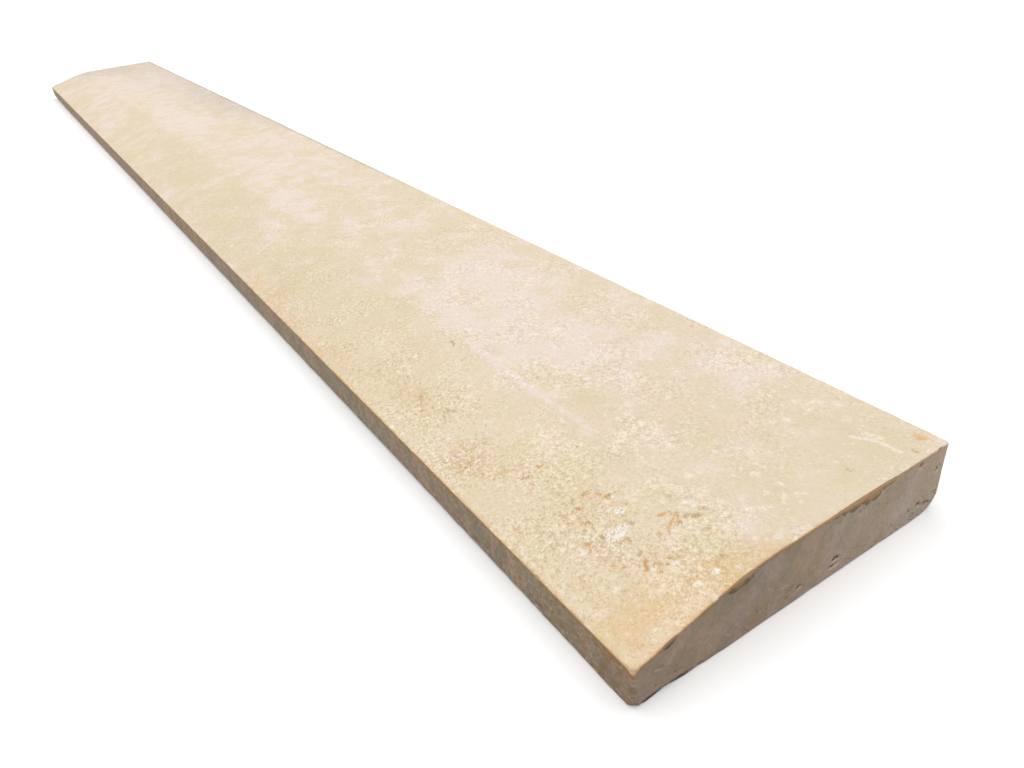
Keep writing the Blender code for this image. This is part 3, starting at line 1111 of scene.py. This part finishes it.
def with_worn_tip(tree, place, colour):
    """The colour, with the upper worn tip in its own."""
    tip = tree.group("broken stone", place, field=tree.attribute("tip"))["Mask"]
    return tree.paint(colour, TIP_COLOUR, tip)


def honed_ground(tree, place, along, across, on_bevel):
    """The colour of the honed faces under their flecks, stains and grain.

    Clouds are weakest on the near bevel and strongest on the far one. The near bevel is bleached.
    Then come the painted shade that damps the far stretch's sheen, the orange tints, in patches, and
    the dull rim by the back arris.
    """
    mottle = tree.times(on_bevel, tree.step(along, *CLOUDS_GROW, -0.5, 0.7))
    mottle = tree.plus(mottle, tree.step(along, *CLOUDS_GROW, 2.2, 3.1))
    tone = tree.attribute("tone")
    colour = tree.group("clouded stone", place, tone=tone, mottle=mottle)["Color"]
    bleached = tree.times(on_bevel, tree.step(along, *BLEACHED_BEVEL))
    colour = tree.tint(colour, (1.045, 1.045, 1.040), bleached)
    # Painted shade: the far stretch darker and bluer, to damp its sheen
    far_shade = tree.step(tree.attribute("far_shade"), 0.0, 1.0)
    colour = tree.tint(colour, (0.845, 0.855, 0.915), far_shade)
    patchy = tree.scaled(tree.noise(place, 230.0, 4.0, 0.7), 2.0, -1.0)
    orange = tree.step(tree.plus(tree.attribute("tint"), patchy), 0.10, 3.00)
    colour = tree.tint(colour, (0.98, 0.76, 0.50), orange)
    dull = tree.times(tree.step(across, *DULL_RIM_ACROSS), tree.step(along, *DULL_RIM_ALONG))
    dull = tree.times(dull, tree.step(tree.attribute("arris_gap"), 3.0, 0.8))
    return tree.tint(colour, (0.74, 0.78, 0.84), dull)


def with_flecks(tree, place, on_bevel, colour):
    """The colour, with cream flecks and blots that gather in clusters, and the drawn crystals."""
    gathered = tree.step(tree.noise(place, 70.0, 2.0), 0.40, 0.66, 0.10, 0.75)
    gathered = tree.scaled(on_bevel, 0.25, gathered)
    small = tree.group("crystal flecks", place, cells=620.0, filled=gathered)["Mask"]
    colour = tree.paint(colour, CREAM, small, 0.72)
    fewer = tree.scaled(gathered, 0.40, 0.03)
    larger = tree.group("crystal flecks", place, cells=330.0, filled=fewer)["Mask"]
    colour = tree.paint(colour, (0.96, 0.87, 0.73), larger, 0.68)
    blots = tree.group("crooked specks", place, scale=500.0, amount=gathered)["Mask"]
    colour = tree.paint(colour, CREAM, blots, 0.40)
    white = tree.mix(on_bevel, (0.95, 0.86, 0.72), (0.95, 0.90, 0.82))
    return tree.paint(colour, white, tree.mark("crystal", place, 0.9), 0.82)


def with_rust(tree, place, specks, colour):
    """The colour, with rusty specks, olive spots, and iron stains that are darker in patches."""
    redder = tree.step(tree.noise(place, 130.0, 2.0), 0.42, 0.58)
    rust = tree.mix(redder, (0.69, 0.52, 0.30), (0.69, 0.47, 0.32))
    colour = tree.paint(colour, rust, specks, 0.75)
    colour = tree.paint(colour, (0.58, 0.43, 0.23), tree.mark("olive", place), 0.90)
    iron = tree.mark("iron", place)
    deep = tree.times(iron, tree.step(tree.noise(place, 480.0, 3.0), 0.34, 0.54))
    rusted = tree.mix(deep, (0.85, 0.61, 0.36), (0.62, 0.37, 0.17))
    return tree.paint(colour, rusted, tree.step(iron, 0.0, 0.55, 0.0, 0.90))


def honed_grain(tree, place, along, across, on_bevel, crowded):
    """The grain of the honed faces: stronger in patches and where specks crowd.

    It is weaker on the bevel and by the near back corner, and it fades towards the far end.
    """
    patchy = tree.step(tree.noise(place, 55.0, 2.0), 0.40, 0.62)
    busy = tree.scaled(crowded, 1.3, tree.times(on_bevel, -1.0))
    contrast = tree.plus(busy, tree.scaled(patchy, 3.1, 1.6))
    calm = tree.times(tree.step(along, *CALM_ALONG), tree.step(across, *CALM_ACROSS))
    contrast = tree.times(contrast, tree.scaled(calm, -0.5, 1.0))
    contrast = tree.times(contrast, tree.step(along, *GRAIN_FADES, 1.0, 0.40))
    dark = tree.mix(on_bevel, (0.82, 0.81, 0.80), (0.86, 0.79, 0.70))
    light = tree.mix(on_bevel, (1.16, 1.17, 1.175), (1.15, 1.21, 1.28))
    return tree.group("stone grain", place, grains=980.0, contrast=contrast, dark=dark, light=light)


def honed_material():
    """The ground and honed top and bevel, with its clouds, flecks, rust and orange tints."""
    material, tree, place = new_material("honed_travertine")
    split = tree.add("ShaderNodeSeparateXYZ", {0: place})
    along, across = split["X"], split["Y"]
    on_bevel = tree.step(across, *BEVEL_COLOURS)
    colour = honed_ground(tree, place, along, across, on_bevel)
    colour = with_flecks(tree, place, on_bevel, colour)
    crowded = tree.step(tree.noise(place, 60.0, 2.0), 0.40, 0.62, 0.0, 0.45)
    crowded = tree.scaled(on_bevel, crowded, tree.attribute("specks"))
    specks = tree.group("crooked specks", place, scale=1000.0, amount=crowded)["Mask"]
    colour = with_rust(tree, place, specks, colour)
    grain = honed_grain(tree, place, along, across, on_bevel, crowded)
    colour = tree.tint(colour, grain["Shade"])

    rusty = tree.step(across, *RUSTY_ARRIS, -0.1, 0.22)
    gap = tree.attribute("arris_gap")
    line = tree.group("arris line", place, gap=gap, width=rusty)["Mask"]
    colour = tree.paint(colour, (0.64, 0.42, 0.23), line, 0.8)
    flake = tree.group("broken stone", place, field=tree.attribute("flaked"), rim=2.0)
    colour = tree.paint(colour, flake["Color"], flake["Mask"])
    colour = with_worn_tip(tree, place, colour)
    sunk = tree.scaled(specks, -0.4, grain["Height"])
    bump = {"Height": sunk, "Strength": 0.35, "Distance": 0.00012}
    finish_stone(tree, colour, bump, tree.scaled(grain["Height"], 0.20, 0.48), 0.12)
    return material


def sawn_ground(tree, place, leaning, on_front):
    """The colour of the sawn faces: upright bands from yellow to pale, some cooler, some warmer."""
    upright = tree.mapped(leaning, scale=(1.0, 1.0, 0.55))
    colour = tree.group(
        "clouded stone",
        place,
        tone=tree.scaled(tree.noise(upright, 120.0, 3.0, 0.6), 9.0, -4.5),
        mottle=tree.scaled(on_front, 1.2, 1.0),
        hue=1.7,
        yellow=(0.600, 0.495, 0.355),
        beige=(0.665, 0.535, 0.410),
        pale=(0.745, 0.595, 0.480),
    )["Color"]
    swaying = tree.scaled(tree.noise(upright, 75.0, 4.0, 0.65), 4.0, -1.5)
    cooler = tree.mix(on_front, (0.96, 1.0, 1.05), (0.92, 1.0, 1.10))
    warmer = tree.mix(on_front, (1.045, 1.0, 0.94), (1.10, 1.0, 0.86))
    return tree.tint(colour, tree.mix(swaying, cooler, warmer))


def with_sawn_specks(tree, place, leaning, split, on_front, colour):
    """The colour, with dark and pale specks along the saw marks, and a few flecks.

    There are more specks low down on the end, most by its back foot, and some on the thin edge.
    """
    low_down = tree.step(split["Z"], *SPECKS_THIN_OUT, 0.32, 0.0)
    by_back_foot = tree.step(split["Y"], *BACK_FOOT, 1.0, 3.0)
    amount = tree.scaled(low_down, by_back_foot, tree.times(on_front, 0.38))
    scored = tree.mapped(leaning, scale=(1.0, 0.35, 1.0))
    dark = tree.group("crooked specks", scored, scale=640.0, amount=amount)["Mask"]
    strength = tree.step(split["Y"], *BACK_FOOT, 0.50, 0.85)
    colour = tree.paint(colour, (0.42, 0.32, 0.23), dark, strength)
    moved = tree.add("ShaderNodeVectorMath", {0: scored, 1: (0.07, 0.03, 0.05)}, operation="ADD")[0]
    pale = tree.group("crooked specks", moved, scale=560.0, amount=amount)["Mask"]
    colour = tree.paint(colour, (0.92, 0.80, 0.64), pale, 0.55)
    flecks = tree.group("crystal flecks", place, cells=300.0, filled=0.10)["Mask"]
    return tree.paint(colour, (0.90, 0.80, 0.66), flecks, 0.35)


def with_sawn_arris(tree, place, split, on_front, colour):
    """The colour, warmer and rusty along the top arris, with the flakes, and darker by the tip."""
    gap, below_top = tree.attribute("arris_gap"), tree.attribute("below_top")
    at_top = tree.step(below_top, 1.5, 2.5, 1.0, 0.0)
    colour = tree.tint(colour, (1.08, 0.88, 0.68), tree.times(tree.step(gap, 2.0, 0.1), at_top))
    near_tip = tree.times(on_front, tree.step(split["X"], *DARK_TIP))
    colour = tree.tint(colour, (0.95, 0.88, 0.83), near_tip)
    rusty = tree.step(split["Y"], *RUSTY_ARRIS, -0.1, 0.30)
    line = tree.group("arris line", place, gap=gap, width=rusty)["Mask"]
    colour = tree.paint(colour, (0.60, 0.38, 0.20), line, at_top)
    forward = tree.step(split["Y"], *FORWARD_FLAKES)
    dark = tree.mix(forward, (0.42, 0.28, 0.18), (0.24, 0.13, 0.07))
    tan = tree.mix(forward, (0.82, 0.51, 0.27), (0.44, 0.27, 0.14))
    fresh = tree.mix(forward, (0.96, 0.64, 0.36), (0.66, 0.45, 0.27))
    field = tree.attribute("flaked")
    flake = tree.group("broken stone", place, field=field, rim=2.2, dark=dark, tan=tan)
    uppermost = tree.step(below_top, 1.3, 0.2)
    return tree.paint(colour, tree.mix(uppermost, flake["Color"], fresh), flake["Mask"])


def sawn_material():
    """The sawn sides, ends and underside: duller stone with upright bands and fine saw marks."""
    material, tree, place = new_material("sawn_travertine")
    split = tree.add("ShaderNodeSeparateXYZ", {0: place})
    leaning = tree.mapped(place, rotation=(0.5, 0.3, 0.0))
    on_front = tree.step(split["Y"], *FRONT_FACE)
    colour = sawn_ground(tree, place, leaning, on_front)
    rougher = tree.scaled(on_front, 2.8, 2.1)
    grain = tree.group("stone grain", place, grains=620.0, contrast=rougher)
    colour = tree.tint(colour, grain["Shade"])
    # The end face paler towards the back, and the thin edge a little darker and warmer
    end_and_front_tint = tree.mix(tree.step(split["Y"], *END_PALER_TO_BACK), (1.04, 1.01, 0.99), (1.46, 1.46, 1.48))
    colour = tree.tint(colour, tree.mix(on_front, end_and_front_tint, (0.98, 0.95, 0.89)))
    colour = with_sawn_specks(tree, place, leaning, split, on_front, colour)
    colour = with_sawn_arris(tree, place, split, on_front, colour)
    colour = with_worn_tip(tree, place, colour)
    colour = tree.paint(colour, (0.98, 0.86, 0.72), tree.mark("chalk", place, 0.5), 0.9)
    colour = tree.paint(colour, (0.26, 0.18, 0.12), tree.mark("scar", place, 0.5), 0.85)

    dark = tree.mix(on_front, (0.30, 0.23, 0.17), (0.50, 0.38, 0.28))
    field, tan = tree.attribute("pitted"), (0.55, 0.42, 0.31)
    pits = tree.group("broken stone", place, field=field, rim=-1.0, dark=dark, tan=tan)
    colour = tree.paint(colour, pits["Color"], pits["Mask"])
    bump = {"Height": grain["Height"], "Strength": 0.5, "Distance": 0.0003}
    finish_stone(tree, colour, bump, tree.scaled(grain["Height"], 0.20, 0.65), 0.2)
    return material


def seen_directly(tree):
    """1 for what the camera sees, directly, in a gloss or through glass, and else 0."""
    path = tree.add("ShaderNodeLightPath", {})
    seen = tree.math("MAXIMUM", path["Is Camera Ray"], path["Is Glossy Ray"])
    return tree.math("MAXIMUM", seen, path["Is Transmission Ray"])


def build_floor():
    """A wide white floor that keeps the stone's shadow, throws little light back, and fades to white."""
    material, tree, place = new_material("studio_floor")
    seen = seen_directly(tree)
    away = tree.add("ShaderNodeVectorMath", {0: place}, operation="LENGTH")["Value"]
    lift = tree.mix(tree.step(away, *FLOOR_FADE), (FLOOR_LIFT,) * 3, WHITE)
    inputs = {
        "Base Color": tree.mix(seen, (FLOOR_BOUNCE,) * 3, WHITE),
        "Emission Color": tree.mix(seen, (0.0, 0.0, 0.0), lift),
        "Emission Strength": 1.0,
        "Roughness": 1.0,
        "Specular IOR Level": 0.0,
    }
    tree.fill(material.node_tree.nodes["Principled BSDF"], inputs)
    half = FLOOR_SIZE / 2
    corners = np.array([(-half, -half, 0), (half, -half, 0), (half, half, 0), (-half, half, 0)])
    corners = corners + (0, 0, low.z - FLOOR_DROP)
    quads = np.array([[0, 1, 2, 3]])
    no_triangles = np.zeros((0, 3), int)
    floor = make_mesh("studio_floor", corners, quads, no_triangles, [material], np.zeros(1))


def light_studio():
    """A dim room that looks white, and one broad softbox overhead."""
    world = bpy.data.worlds.new("studio")
    world.use_nodes = True
    bpy.context.scene.world = world
    tree = Tree(world.node_tree)
    colour = tree.mix(seen_directly(tree), (ROOM_LIGHT,) * 3, WHITE)
    tree.fill(world.node_tree.nodes["Background"], {"Color": colour})
    lamp = bpy.data.lights.new("softbox", "AREA")
    lamp.shape = "SQUARE"
    lamp.size = SOFTBOX_SIZE
    lamp.energy = SOFTBOX_POWER
    softbox = bpy.data.objects.new("softbox", lamp)
    softbox.location = (0.0, 0.0, SOFTBOX_HEIGHT)
    bpy.context.scene.collection.objects.link(softbox)


def place_camera():
    """The photograph's camera."""
    camera = bpy.data.cameras.new("camera")
    camera.lens = CAMERA_LENS
    camera.clip_start = 0.01
    obj = bpy.data.objects.new("camera", camera)
    obj.location = Vector(CAMERA_PLACE)
    obj.rotation_euler = Euler([math.radians(angle) for angle in CAMERA_TURN])
    bpy.context.scene.collection.objects.link(obj)
    bpy.context.scene.camera = obj


clouded_stone()
stone_grain()
crystal_flecks()
crooked_specks()
broken_mark()
broken_stone()
arris_line()
stone = build_stone([honed_material(), sawn_material()])
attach(stone, "root")
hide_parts("threshold")
build_floor()
light_studio()
place_camera()
bpy.context.scene.view_settings.view_transform = "Standard"
